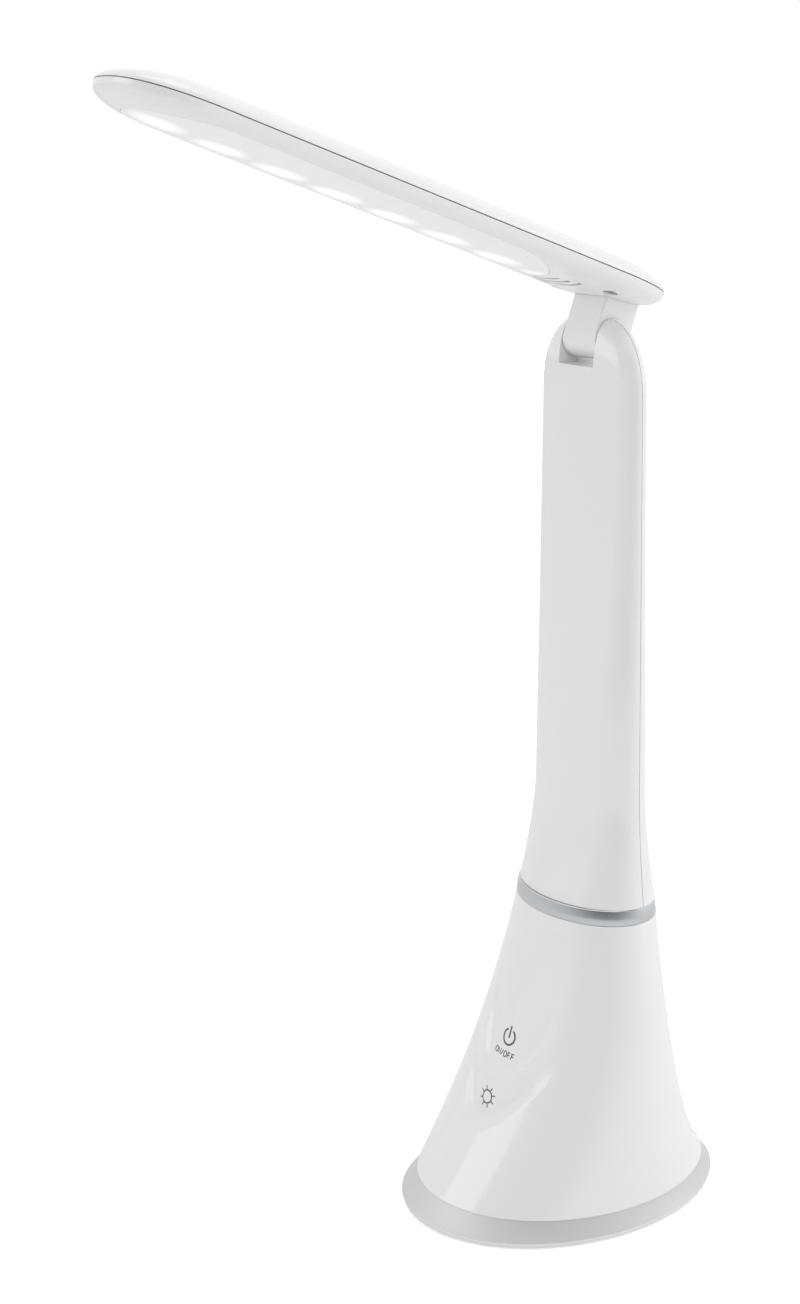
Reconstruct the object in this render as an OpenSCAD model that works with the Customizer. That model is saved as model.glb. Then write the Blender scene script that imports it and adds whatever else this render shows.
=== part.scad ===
// Folding desk lamp: a flared foot, a thin wide arm that ends in a fork, and a long lamp head that tilts in it.
// +Z is up, the head points to -Y, the hinge lies along X, and z = 0 is the table.

/* [Foot] */
// Half width of the foot at the top of its trim band, along X
foot_half_w = 37.3; // [33:0.1:42]
// Reach of the foot in front of the arm at the top of its trim band
foot_front = 56.6; // [50:0.1:62]
// Reach of the foot behind the arm at the top of its trim band
foot_back = 33.8; // [32:0.1:42]
// Extra reach of the foot's front at the table
spread_front = 5.3; // [0:0.1:7]
// Extra half width of the foot at the table
spread_side = 1.8; // [0:0.1:3]
// Extra reach of the foot's back at the table
spread_back = 3.5; // [0:0.1:5]
// Height of the top of the trim band above the table
band_top = 7.2; // [6.5:0.1:11]
// Thickness of the trim band
band_wall = 1.6; // [0.8:0.1:2]
// Height of the white edge that shows under the trim band
rim_h = 1.6; // [1.2:0.1:3]
// How far the rubber pad stands proud of the foot plate
pad_proud = 0.5; // [0.3:0.1:1.5]
// Distance of the rubber pad's edge from the edge of the foot
pad_in = 7; // [5:0.1:9]
// Wall of the moulded shells of the foot
base_wall = 2.2; // [1.6:0.1:3]

/* [Collar] */
// Height of the lower edge of the collar
collar_z = 86.9; // [70:0.1:100]
// Height of the collar
collar_h = 4.5; // [3:0.1:8]
// Half width of the collar along X
collar_half_w = 25.1; // [23:0.1:29]
// Reach of the collar in front of the hinge line
collar_front = 19.5; // [17:0.1:22]
// Reach of the collar behind the hinge line
collar_back = 14.5; // [12.5:0.1:18]

/* [Arm] */
// Half width of the arm just above its flare
arm_half_w = 22.1; // [20:0.1:24]
// Reach of the arm in front of the hinge line just above its flare
arm_front = 11.8; // [10:0.1:13]
// Reach of the arm behind the hinge line just above its flare
arm_back = 9.4; // [8:0.1:11]
// Height where the flare down to the collar begins
flare_z = 121; // [112:0.5:140]
// Half width of the arm at the root of the fork
fork_half_w = 21.4; // [20:0.1:24]
// Reach of the arm in front of the hinge line at the root of the fork
fork_front = 7.5; // [7:0.1:8.5]
// Reach of the arm behind the hinge line at the root of the fork
fork_back = 6.3; // [5.8:0.1:8]
// Distance from the hinge down to where the rounded top of the fork begins
dome_drop = 16; // [13:0.5:20]
// Height of the rounded top of the fork
dome_h = 22.6; // [21:0.1:26]
// Place of the parting line between the two arm shells, along Y
arm_seam_y = -0.44; // [-1.2:0.02:1]
// Width of the slot of the fork
slot_w = 15.5; // [14.8:0.1:18]
// Distance from the hinge down to the floor of the slot
slot_drop = 7; // [6.4:0.1:10]
// Wall of the arm shells
arm_wall = 2; // [1.4:0.1:3]

/* [Hinge] */
// Height of the hinge above the table
hinge_z = 250; // [220:1:280]
// Radius of the hinge pin
pin_r = 1.5; // [1.2:0.05:1.8]
// Radius of the pin's head
pin_head_r = 2.5; // [2.2:0.05:2.6]
// Radial running clearance of the pin
pin_clearance = 0.05; // [0.02:0.01:0.09]
// Gap between the neck and each ear
neck_gap = 0.45; // [0.42:0.01:1]
// Radius of the rounded foot of the neck
neck_r = 5.8; // [5:0.1:6]
// Thickness of the friction washers beside the neck
washer_t = 0.35; // [0.2:0.05:0.4]

/* [Head] */
// Angle of the head above the horizontal at rest
head_tilt = 20.2; // [0:0.1:30]
// Reach of the head's tip from the hinge
head_reach = 158.7; // [150:0.1:158.9]
// Reach of the head's tail behind the hinge
head_tail = 12.5; // [11:0.1:16]
// Half width of the head
head_half_w = 19.75; // [18:0.05:23]
// Length of the rounded end of the head
head_round = 24.8; // [22:0.1:28]
// Distance of the head's seam above the hinge
seam_n = 15.9; // [15:0.1:18]
// Depth of the underside below the seam
under_h = 5.7; // [5:0.1:6.2]
// Height of the top above the seam
crown_h = 6.15; // [5.5:0.05:9]
// Width of the groove along the seam
seam_gap = 0.6; // [0.3:0.05:1]
// Wall of the head shells
head_wall = 1.6; // [1.2:0.05:2]

/* [Light] */
// Half width of the diffuser
window_half_w = 17.2; // [14:0.1:17.5]
// Distance of the hinge end of the diffuser from the hinge
window_start = 24.5; // [23:0.1:30]
// Distance of the tip end of the diffuser from the tip of the head
window_tip = 7.7; // [6:0.1:12]
// Length of the rounded end of the diffuser
window_round = 20; // [15:0.1:25]
// Gap round the diffuser in its window
window_gap = 0.12; // [0.05:0.01:0.3]
// Number of lamps
lamp_count = 7; // [3:1:7]
// Distance of the first lamp from the hinge end of the diffuser
lamp_first = 14.5; // [13:0.1:18]
// Distance of the last lamp from the tip end of the diffuser
lamp_last = 8.8; // [8.8:0.1:14]
// Number of vent slots
vent_count = 3; // [1:1:3]
// Spacing of the vent slots
vent_pitch = 2.8; // [2:0.1:3]
// Width of a vent slot
vent_w = 0.9; // [0.5:0.1:1.3]

/* [Touch area] */
// Height of the lowest point of the upper scoop's rim
upper_z = 39.2; // [36:0.1:44]
// Half width of the upper scoop
upper_w = 15.3; // [12:0.1:17]
// Height of the upper scoop's rim from its lowest point to its ends
upper_h = 18; // [14:0.1:22]
// Depth of the upper scoop
upper_depth = 1.4; // [0.8:0.1:2]
// Height of the lowest point of the lower scoop's rim
lower_z = 24.6; // [20:0.1:28]
// Half width of the lower scoop
lower_w = 22.3; // [18:0.1:25]
// Height of the lower scoop's rim from its lowest point to its ends
lower_h = 24.6; // [18:0.1:28]
// Depth of the lower scoop
lower_depth = 2.4; // [1:0.1:3]

/* [Inside] */
// Diameter of the battery cell
cell_d = 18.4; // [14:0.1:18.5]
// Length of the battery cell
cell_l = 49; // [40:0.5:50]
// Thickness of the ballast plate
ballast_t = 4; // [2:0.1:5]
// Radius of the screws
screw_r = 1.3; // [1:0.05:1.5]
// Distance of the foot's screws from its side
screw_in = 13.3; // [12.5:0.1:15]
// Spacing of the foot's screws along Y
screw_span = 27; // [24:0.5:30]

/* [Hidden] */

fit = 0.1;
cut = 1;
loft_n = 64;
liner_n = 40;
white = [0.93, 0.93, 0.93];
silver = [0.74, 0.75, 0.76];
steel = [0.62, 0.63, 0.65];
milky = [0.98, 0.98, 0.95];
board_green = [0.1, 0.35, 0.2];
collar_top = collar_z + collar_h;
seam_low = seam_n - seam_gap / 2;
seam_high = seam_n + seam_gap / 2;
under_n = seam_n - under_h;
dome_z = hinge_z - dome_drop;
slot_floor = hinge_z - slot_drop;
neck_w = slot_w - 2 * neck_gap;
window_end = head_reach - window_tip;
lamp_start = window_start + lamp_first;
lamp_pitch = (window_end - lamp_last - lamp_start) / (lamp_count - 1);
foot_mid = (foot_back - foot_front) / 2;
screw_x = foot_half_w - screw_in;

// Signed power of a sine or cosine, which turns an ellipse into a squarer oval
function sup(v, p) = sign(v) * pow(abs(v), p);

// One level oval: a half width, front and back its reach along Y, e its squareness
function oval(a, front, back, z, n = loft_n, e = 2) =
    [for (i = [0 : n - 1]) let (t = 360 * i / n)
        [a * sup(cos(t), 2 / e), (back - front) / 2 + (back + front) / 2 * sup(sin(t), 2 / e), z]];

// A solid through a stack of level outlines, lowest first, all with the same number of points
module loft(rings) {
    n = len(rings[0]);
    m = len(rings);
    sides = [for (k = [0 : m - 2]) for (i = [0 : n - 1]) let (j = (i + 1) % n)
        each [[k * n + i, (k + 1) * n + i, (k + 1) * n + j], [k * n + i, (k + 1) * n + j, k * n + j]]];
    floor_cap = [[for (i = [0 : n - 1]) i]];
    top_cap = [[for (i = [n - 1 : -1 : 0]) (m - 1) * n + i]];
    polyhedron(points = [for (r = rings) each r], faces = concat(sides, floor_cap, top_cap));
}

// Share of the foot's spread that is left at height share t: 1 at the band, 0 at the collar, k its hollow
function flare(t, k) = (1 - t) * (1 - k * t);
front_hollow = 0.65;
side_hollow = -0.5;

// The same for the back, which falls more steeply: a slow curve with a share of quick lip at the band
back_power = 1.85;
lip_power = 12;
lip_share = 0.15;
function back_flare(t) = mix(pow(1 - t, back_power), pow(1 - t, lip_power), lip_share);
function mix(lo, hi, s) = lo + (hi - lo) * s;

// Share of a scoop's depth at distance d inside its rim: a soft ledge, then a floor that runs out flat
function scoop_profile(d, ledge, run) =
    d <= 0 ? 0 : d < ledge ? (1 - cos(180 * d / ledge)) / 2 : max(0, 1 - (d - ledge) / run);

lower_ledge = 4.2;
lower_run = 12.5;
upper_ledge = 2.8;
upper_run = 19;
upper_round = 0.6;

// Depth of the lower scoop at x and z: its rim is a parabola whose ends fade into the cone
function lower_scoop(x, z) =
    let (u = min(1, abs(x) / lower_w), rim = lower_z + lower_h * u * u, slope = 2 * lower_h * u / lower_w)
    lower_depth * sqrt(1 - u * u) * scoop_profile((z - rim) / sqrt(1 + slope * slope), lower_ledge, lower_run);

// Depth of the upper scoop at x and z: its rim is a rounded U
function upper_scoop(x, z) =
    let (u = min(1, abs(x) / upper_w), c = max(0.001, 1 - u * u), rim = upper_z + upper_h * (1 - pow(c, upper_round)),
        slope = 2 * upper_h * upper_round * u * pow(c, upper_round - 1) / upper_w)
    u >= 1 ? 0 : upper_depth * scoop_profile((z - rim) / sqrt(1 + slope * slope), upper_ledge, upper_run);

function scoop_depth(x, z) = lower_scoop(x, z) + upper_scoop(x, z);

// Half width, front reach and back reach of the foot's cone at height z, moved in by d
function cone_size(z, d = 0) =
    let (t = (z - band_top) / (collar_z - band_top))
    [mix(collar_half_w, foot_half_w, flare(t, side_hollow)) - d,
        mix(collar_front, foot_front, flare(t, front_hollow)) - d,
        mix(collar_back, foot_back, back_flare(t)) - d];

// Outline of the cone at height z, with its points closer together in front
front_crowd = 1.5;
function cone_ring(z, d = 0, n = cone_n) =
    let (size = cone_size(z, d), a = size[0], f = size[1], b = size[2])
    [for (i = [0 : n - 1]) let (v = 2 * i / n - 1, t = 270 + 180 * sup(v, front_crowd), x = a * cos(t))
        [x, (b - f) / 2 + (b + f) / 2 * sin(t) + (sin(t) < 0 ? scoop_depth(x, z) : 0), z]];

// Y of the cone's front at x and z, moved in by d
function cone_front(x, z, d) =
    let (size = cone_size(z, d))
    (size[2] - size[1]) / 2 - (size[2] + size[1]) / 2 * sqrt(1 - pow(x / size[0], 2)) + scoop_depth(x, z);

module cone(d, levels, n = cone_n) {
    loft([for (z = levels) cone_ring(z, d, n)]);
}

cone_n = 80;
scoop_step = 1.8;
scoop_top = 56;
outer_levels = concat([for (i = [0 : 3]) mix(band_top, lower_z - 2, i / 3)], [for (z = [lower_z : scoop_step : scoop_top]) z],
    [for (i = [1 : 4]) mix(scoop_top, collar_z, i / 4)]);
inner_levels = concat([band_top, band_top + 7], [for (z = [lower_z : 3 * scoop_step : scoop_top]) z], [70, collar_z - 3]);

// Outline of the foot below the cone: the band slopes out to the rim, and the rim draws in a little
band_step = 0.3;
rim_draft = 0.5;
function skirt_ring(z, d = 0, n = loft_n) =
    let (s = min(1, max(0, (band_top - z) / (band_top - trim_z))), e = d + rim_draft * max(0, (trim_z - z) / rim_h))
    oval(foot_half_w + s * spread_side - e, foot_front + s * spread_front - e, foot_back + s * spread_back - e, z, n);

plate_z = pad_proud;
trim_z = pad_proud + rim_h;
floor_z = trim_z;
screw_spots = [for (t = [-1, 1]) for (s = [-1, 1]) [s * screw_x, foot_mid + t * screw_span / 2]];
pad_pocket = 0.6;
screw_head_r = 2.4;
screw_head_h = 0.9;
post_r = 3.2;

// Oval prism of the foot's plan, moved in by d
module foot_oval(d, from_z, h) {
    translate([0, 0, from_z]) linear_extrude(h)
        polygon([for (q = oval(foot_half_w - d, foot_front - d, foot_back - d, 0)) [q[0], q[1]]]);
}

// Foot: white moulded cover that closes it from below
module foot_plate() {
    color(white) difference() {
        loft([skirt_ring(plate_z), skirt_ring(floor_z)]);
        foot_oval(pad_in - fit, plate_z - cut, pad_pocket + cut);
        for (p = screw_spots) translate([p[0], p[1], plate_z - cut])
            cylinder(r = screw_r + fit, h = rim_h + 2 * cut, $fn = 32);
    }
}

// Foot: rubber pad in the plate's shallow pocket, with holes over the screws
module foot_pad() {
    color([0.15, 0.15, 0.15]) difference() {
        foot_oval(pad_in, 0, plate_z + pad_pocket);
        for (p = screw_spots) translate([p[0], p[1], -cut])
            cylinder(r = screw_head_r + 2 * fit, h = 3, $fn = 32);
    }
}

screw_reach = 9;
module base_screws() {
    color(steel) for (p = screw_spots) translate([p[0], p[1], plate_z + pad_pocket]) {
        translate([0, 0, -screw_head_h]) cylinder(r = screw_head_r, h = screw_head_h, $fn = 32);
        cylinder(r = screw_r, h = screw_reach, $fn = 32);
    }
}

// Foot: silver band that wraps the lower edge
module foot_trim() {
    color(silver) difference() {
        loft([skirt_ring(trim_z), skirt_ring(band_top, band_step)]);
        loft([skirt_ring(trim_z - cut, band_wall), skirt_ring(trim_z, band_wall), skirt_ring(band_top, band_wall),
            skirt_ring(band_top + cut, band_wall)]);
    }
}

post_top = 30;
rib_t = 1.8;
socket_w = 8.4;
socket_h = 2.8;
socket_wall = 0.35;
socket_l = 7.4;
tray_z = floor_z + ballast_t;
tray_t = 1.2;
board_z = tray_z + 4.6;
board_t = 1.2;
socket_z = board_z + board_t + socket_h / 2 + socket_wall;
socket_y = cone_size(socket_z)[2];
spigot_in = 2.6;
spigot_z = 74;

// Stadium prism along Y, centred on its axis
module slot_bar(w, h, l) {
    rotate([90, 0, 0]) linear_extrude(l, center = true) {
        square([w - h, h], center = true);
        for (s = [-1, 1]) translate([s * (w - h) / 2, 0]) circle(d = h, $fn = 32);
    }
}

module posts(from_z, to_z, r = post_r) {
    for (p = screw_spots) translate([p[0], p[1], from_z]) cylinder(r = r, h = to_z - from_z, $fn = 32);
}

// Ribs that tie the posts to the side walls
module post_ribs() {
    for (p = screw_spots) translate([p[0] > 0 ? p[0] : p[0] - screw_in, p[1] - rib_t / 2, band_top])
        cube([screw_in, rib_t, post_top - band_top]);
}

// Outline of the collar and of the spigot inside it, moved in by d
function collar_ring(z, d) = oval(collar_half_w - d, collar_front - d, collar_back - d, z);

// Foot: white flared cone with its two scoops for the touch marks, skirt and screw posts
module base_shell() {
    skirt_in = band_wall + fit;
    color(white) difference() {
        union() {
            difference() {
                union() {
                    cone(0, outer_levels);
                    loft([skirt_ring(floor_z + fit, skirt_in), skirt_ring(band_top, skirt_in), skirt_ring(band_top + fit, skirt_in)]);
                }
                cone(base_wall, inner_levels, liner_n);
                loft([skirt_ring(floor_z - cut, skirt_in + base_wall + rim_draft), skirt_ring(floor_z, skirt_in + base_wall),
                    skirt_ring(band_top + fit, skirt_in + base_wall)]);
            }
            intersection() {
                cone(base_wall / 2, [band_top, band_top + 7, lower_z, post_top + 4], liner_n);
                union() {
                    posts(band_top, post_top);
                    post_ribs();
                }
            }
            posts(floor_z + fit, band_top + fit);
        }
        posts(0, plate_z + screw_reach + 2 * cut, screw_r + fit / 2);
        loft([collar_ring(spigot_z, spigot_in - fit), collar_ring(collar_z + cut, spigot_in - fit)]);
        translate([0, socket_y, socket_z])
            slot_bar(socket_w + 2 * socket_wall + fit, socket_h + 2 * socket_wall + fit, 8 * base_wall);
    }
}

// Collar between foot and arm, eased at both edges
collar_ease = 0.4;
collar_taper = 0.5;
module neck_ring() {
    color(silver) difference() {
        loft([
            collar_ring(collar_z, collar_ease), collar_ring(collar_z + collar_ease, 0),
            collar_ring(collar_top - collar_ease, collar_taper), collar_ring(collar_top, collar_taper + collar_ease)
        ]);
        loft([collar_ring(collar_z - cut, spigot_in - fit), collar_ring(collar_top + cut, spigot_in - fit)]);
    }
}

// Foot inside: steel weight on the plate, cut clear of the screw posts
ballast_in = 5.5;
post_gap = 0.4;
module ballast_plate() {
    color(steel) difference() {
        foot_oval(ballast_in, floor_z, ballast_t);
        posts(floor_z - cut, tray_z + cut, post_r + post_gap);
    }
}

// Foot inside: moulded tray on the weight, with a cradle for the cell and legs for the board
cell_side = 1.6;
cell_x = screw_x - post_r - cell_side - cell_d / 2;
cell_y = foot_mid + 3.4;
cell_gap = 0.1;
cell_z = tray_z + tray_t + cell_gap + cell_d / 2;
cell_back = cell_y + cell_l / 2;
board_left = post_r + post_gap + post_gap - screw_x;
board_right = cell_x - cell_d / 2 - 5.8;
board_x = (board_left + board_right) / 2;
board_front = cell_back - cell_l + 5.5;
board_back = cell_back + 1;
leg_r = 1.6;
leg_in = 2.5;
board_legs = [for (x = [board_left + leg_in, board_right - leg_in]) for (y = [board_front + leg_in, board_back - leg_in]) [x, y]];
module battery_holder() {
    cradle_w = 5;
    cradle_wall = 1.5;
    color([0.2, 0.2, 0.22]) difference() {
        union() {
            foot_oval(ballast_in, tray_z, tray_t);
            for (s = [-1, 1]) translate([cell_x, cell_y + s * (cell_l / 2 - cradle_w), tray_z + tray_t + cell_d / 4])
                cube([cell_d + 2 * cradle_wall, cradle_w, cell_d / 2], center = true);
            for (p = board_legs) translate([p[0], p[1], tray_z]) cylinder(r = leg_r, h = board_z - tray_z, $fn = 24);
        }
        translate([cell_x, cell_y, cell_z]) rotate([90, 0, 0])
            cylinder(d = cell_d + 2 * cell_gap, h = cell_l + 2 * cut, center = true, $fn = 64);
        posts(tray_z - cut, tray_z + cell_d, post_r + post_gap);
    }
}

module battery_cell() {
    cap_r = 2.8;
    cap_h = 1.2;
    color([0.25, 0.45, 0.7]) translate([cell_x, cell_y, cell_z]) rotate([90, 0, 0]) {
        translate([0, 0, -cell_l / 2]) cylinder(d = cell_d, h = cell_l - cap_h, $fn = 64);
        translate([0, 0, cell_l / 2 - cap_h]) cylinder(r = cap_r, h = cap_h, $fn = 32);
    }
}

// Foot inside: charging and dimming board with its parts, which carries the inlet at the back
inlet_y = socket_y - 1;
module driver_board() {
    arm_w = 6.5;
    arm_end = inlet_y - socket_l / 2 + 0.2;
    coil_d = 8;
    coil_h = 4;
    chip = [5, 4, 1.2];
    color(board_green) translate([0, 0, board_z]) linear_extrude(board_t) polygon([
        [board_left, board_front], [board_right, board_front], [board_right, board_back], [arm_w, board_back],
        [arm_w, arm_end], [-arm_w, arm_end], [board_left, board_back + 1.5]
    ]);
    color([0.25, 0.25, 0.28]) translate([board_x, 0, board_z + board_t]) {
        for (y = [cell_y - 6, cell_y + 5]) translate([0, y, 0]) cylinder(d = coil_d, h = coil_h, $fn = 48);
        for (y = [board_front + 5, board_back - 3.5]) translate([-chip[0] / 2, y - chip[1] / 2, 0]) cube(chip);
    }
}

module charge_socket() {
    tongue_h = 0.7;
    color(steel) translate([0, inlet_y - socket_l / 2, socket_z]) {
        difference() {
            slot_bar(socket_w + 2 * socket_wall, socket_h + 2 * socket_wall, socket_l);
            translate([0, cut, 0]) slot_bar(socket_w, socket_h, socket_l);
        }
        translate([0, -0.3, 0]) cube([socket_w - 2, socket_l - 2, tongue_h], center = true);
    }
}

// Foot inside: touch sensor board glued behind the scoops, as close as the wall's hollows let it lie
touch_w = 16;
touch_l = 22;
touch_t = 1;
touch_gap = 0.3;
touch_z = upper_z + 5;
touch_reach = [for (k = [-1 : 0.25 : 1]) touch_z + k * touch_l / 2];
touch_rise = cone_front(0, touch_z + touch_l / 2, base_wall) - cone_front(0, touch_z - touch_l / 2, base_wall);
touch_lean = atan2(touch_rise, touch_l);
touch_y = touch_gap + max([for (z = touch_reach) for (k = [0 : 0.25 : 1])
    cone_front(k * touch_w / 2, z, base_wall) - (z - touch_z) * tan(touch_lean)]);
module touch_board() {
    color(board_green) translate([0, touch_y, touch_z]) rotate([90 - touch_lean, 0, 0])
        translate([-touch_w / 2, -touch_l / 2, -touch_t]) cube([touch_w, touch_l, touch_t]);
}

// Outline of the arm at height z, moved in by d: flared below flare_z, straight above it, domed at the top
flare_power = 1.4;
dome_power = 2.4;
dome_edge = 6;
function arm_ring(z, d = 0, n = loft_n) =
    let (low = max(0, (flare_z - z) / (flare_z - collar_top)), s = pow(low, flare_power),
        up = max(0, (z - flare_z) / (dome_z - flare_z)), top = max(0, (z - dome_z) / dome_h),
        w = z < flare_z ? mix(arm_half_w, collar_half_w - collar_taper, s)
            : mix(arm_half_w, fork_half_w, min(1, up)) * pow(1 - pow(top, dome_power), 1 / dome_power),
        edge = pow(1 - pow(top, dome_edge), 1 / dome_edge),
        f = z < flare_z ? mix(arm_front, collar_front - 1.4, s) : mix(arm_front, fork_front, min(1, up)) * edge,
        b = z < flare_z ? mix(arm_back, collar_back - 0.7, s) : mix(arm_back, fork_back, min(1, up)) * edge)
    oval(w - d, f - d, b - d, z, n);

arm_levels = concat(
    [for (i = [0 : 5]) mix(collar_top, flare_z, i / 5)], [hinge_z - 80], [for (i = [0 : 7]) dome_z + dome_h * sin(89 * i / 7)]);
cavity_z = spigot_z + 10;
ear_wall = 2.6;
head_x = slot_w / 2 + ear_wall;
pin_head_h = 1.8;
nut_r = 2.75;
nut_h = 1.6;
spring_h = 0.9;
arm_screw_x = 12;
arm_screw_z = 79;
arm_screw_back = 7.4;
arm_screw_front = -8;
arm_screw_head = 2.1;
lead_r = 1.5;

module arm_form() {
    difference() {
        union() {
            loft([for (z = arm_levels) arm_ring(z)]);
            loft([collar_ring(spigot_z, spigot_in), collar_ring(collar_top + 2, spigot_in)]);
        }
        loft([collar_ring2(cavity_z), arm_ring(collar_top + 4, arm_wall, liner_n),
            arm_ring(flare_z, arm_wall, liner_n), arm_ring(dome_z - 2, arm_wall, liner_n)]);
        translate([0, lead_low[1], spigot_z - cut]) cylinder(r = lead_r + 0.3, h = cavity_z - spigot_z + 2 * cut, $fn = 32);
        translate([-slot_w / 2, -2 * fork_front, slot_floor]) cube([slot_w, 4 * fork_front, dome_h]);
        hinge_bore();
        for (s = [-1, 1]) translate([s * arm_screw_x, 0, arm_screw_z]) rotate([-90, 0, 0]) {
            translate([0, 0, arm_screw_front - fit]) cylinder(r = screw_r + fit / 2, h = 30, $fn = 32);
            translate([0, 0, arm_screw_back - fit]) cylinder(r = arm_screw_head + fit, h = 10, $fn = 32);
        }
    }
}

function collar_ring2(z) = oval(collar_half_w - spigot_in - arm_wall, collar_front - spigot_in - arm_wall,
    collar_back - spigot_in - arm_wall, z, liner_n);

// Bore for the pin, with a blind pocket in each ear
module hinge_bore() {
    translate([0, 0, hinge_z]) rotate([0, 90, 0]) {
        cylinder(r = pin_r + pin_clearance, h = 2 * head_x + 2 * cut, center = true, $fn = 48);
        translate([0, 0, -head_x - pin_head_h - fit]) cylinder(r = pin_head_r + fit, h = pin_head_h + fit, $fn = 48);
        translate([0, 0, head_x]) cylinder(r = nut_r + fit, h = spring_h + nut_h + fit, $fn = 48);
    }
}

module arm_half(front) {
    reach = 40;
    intersection() {
        arm_form();
        translate([-reach, front ? arm_seam_y - reach : arm_seam_y, 0]) cube([2 * reach, reach, hinge_z + 50]);
    }
}

// Arm: front and back halves of the moulding, with the halves of the fork's ears
module arm_front_shell() {
    color(white) arm_half(true);
}

module arm_back_shell() {
    color(white) arm_half(false);
}

module arm_screws() {
    color(steel) for (s = [-1, 1]) translate([s * arm_screw_x, 0, arm_screw_z]) rotate([-90, 0, 0]) {
        translate([0, 0, arm_screw_front]) cylinder(r = screw_r, h = arm_screw_back - arm_screw_front, $fn = 32);
        translate([0, 0, arm_screw_back]) cylinder(r = arm_screw_head, h = 1.4, $fn = 32);
    }
}

// Round bar between two points
module rod(p, q, r) {
    d = q - p;
    l = norm(d);
    translate(p) rotate([0, acos(d[2] / l), atan2(d[1], d[0])]) cylinder(r = r, h = l, $fn = 24);
    translate(q) sphere(r = r + 0.1, $fn = 24);
}

// Arm inside: lead from the board up along the inner face of the back shell
lead_in = arm_wall + lead_r + 0.15;
lead_low = [0, collar_back - spigot_in - arm_wall - lead_r - 0.6, cavity_z];
lead_mid = [0, arm_back - lead_in, flare_z];
lead_top = [0, fork_back - lead_in, dome_z - 4];
lead_bend = spigot_z - 34;
lead_join = spigot_z - 8;
module arm_lead() {
    lead_foot = [board_x, lead_low[1], board_z + board_t];
    color([0.2, 0.2, 0.2]) {
        rod(lead_foot, [board_x, lead_low[1], lead_bend], lead_r);
        rod([board_x, lead_low[1], lead_bend], [0, lead_low[1], lead_join], lead_r);
        rod([0, lead_low[1], lead_join], lead_low, lead_r);
        rod(lead_low, lead_mid, lead_r);
        rod(lead_mid, lead_top, lead_r);
    }
}

// Hinge: headed pin that lies in both ears and carries the neck
module hinge_pin() {
    color(steel) translate([0, 0, hinge_z]) rotate([0, 90, 0]) {
        translate([0, 0, -head_x - pin_head_h]) cylinder(r = pin_head_r, h = pin_head_h, $fn = 48);
        translate([0, 0, -head_x]) cylinder(r = pin_r, h = 2 * head_x + spring_h + nut_h, $fn = 48);
    }
}

module hinge_nut() {
    color(steel) translate([head_x + spring_h, 0, hinge_z]) rotate([0, 90, 0]) difference() {
        cylinder(r = nut_r, h = nut_h, $fn = 6);
        translate([0, 0, -cut]) cylinder(r = pin_r + pin_clearance, h = nut_h + 2 * cut, $fn = 48);
    }
}

// Hinge: pair of dished washers under the nut, which keep the tilt stiff
module spring_washers() {
    t = spring_h / 3;
    bore = pin_r + pin_clearance;
    color(steel) translate([head_x, 0, hinge_z]) rotate([0, 90, 0]) for (k = [0, 1])
        translate([0, 0, k * spring_h]) mirror([0, 0, k]) rotate_extrude($fn = 48)
            polygon([[bore, spring_h / 2 - t], [bore, spring_h / 2 - 0.02], [pin_head_r, t], [pin_head_r, 0]]);
}

module friction_washers() {
    washer_r = neck_r - 1.6;
    color([0.3, 0.3, 0.3]) for (s = [-1, 1])
        translate([s * (neck_w + neck_gap) / 2, 0, hinge_z]) rotate([0, 90, 0]) difference() {
            cylinder(r = washer_r, h = washer_t, center = true, $fn = 48);
            cylinder(r = pin_r + pin_clearance, h = 1, center = true, $fn = 48);
        }
}

// Everything below lies in the head's own frame: hinge at the origin, tip towards -Y, seam level
module at_head() {
    translate([0, 0, hinge_z]) rotate([-head_tilt, 0, 0]) children();
}

// One level outline of the head: straight sides and squarish round ends, shrunk by share r
plan_power = 2.4;
under_power = 2.74;
crown_power = 1.9;
function head_ring(d, r, z, n = loft_n) =
    let (half = (head_reach + head_tail) / 2, mid = (head_reach - head_tail) / 2)
    [for (i = [0 : n - 1]) let (t = 360 * i / n)
        [(head_half_w - d) * r * sup(cos(t), 2 / plan_power),
            sign(sin(t)) * (half - head_round + (head_round - d) * r * pow(abs(sin(t)), 2 / plan_power)) - mid, z]];

// Underside of the head, moved in by d, closed at its seam or carried up to top_z
module under_form(d, top_z, steps = 7, n = loft_n) {
    h = seam_low - under_n - d;
    loft(concat(
        [for (i = [steps : -1 : 0]) let (a = 86 * i / steps)
            head_ring(d, pow(cos(a), 2 / under_power), seam_low - h * pow(sin(a), 2 / under_power), n)],
        top_z > seam_low ? [head_ring(d, 1, top_z, n)] : []));
}

// Top of the head, moved in by d, from bottom_z up, p its squareness
module crown_form(d, bottom_z, p = crown_power, steps = 7, n = loft_n) {
    h = crown_h - seam_gap / 2 - d;
    loft(concat(
        bottom_z < seam_high ? [head_ring(d, 1, bottom_z, n)] : [],
        [for (i = [0 : steps]) let (a = 86 * i / steps)
            head_ring(d, pow(cos(a), 2 / p), seam_high + h * pow(sin(a), 2 / p), n)]));
}

// Outline of the diffuser's window, moved in by d
function window_outline(d, n = 48) =
    let (half = (window_end - window_start) / 2, mid = (window_end + window_start) / 2)
    [for (i = [0 : n - 1]) let (t = 360 * i / n)
        [(window_half_w - d) * cos(t), sign(sin(t)) * (half - window_round + (window_round - d) * abs(sin(t))) - mid]];

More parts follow.
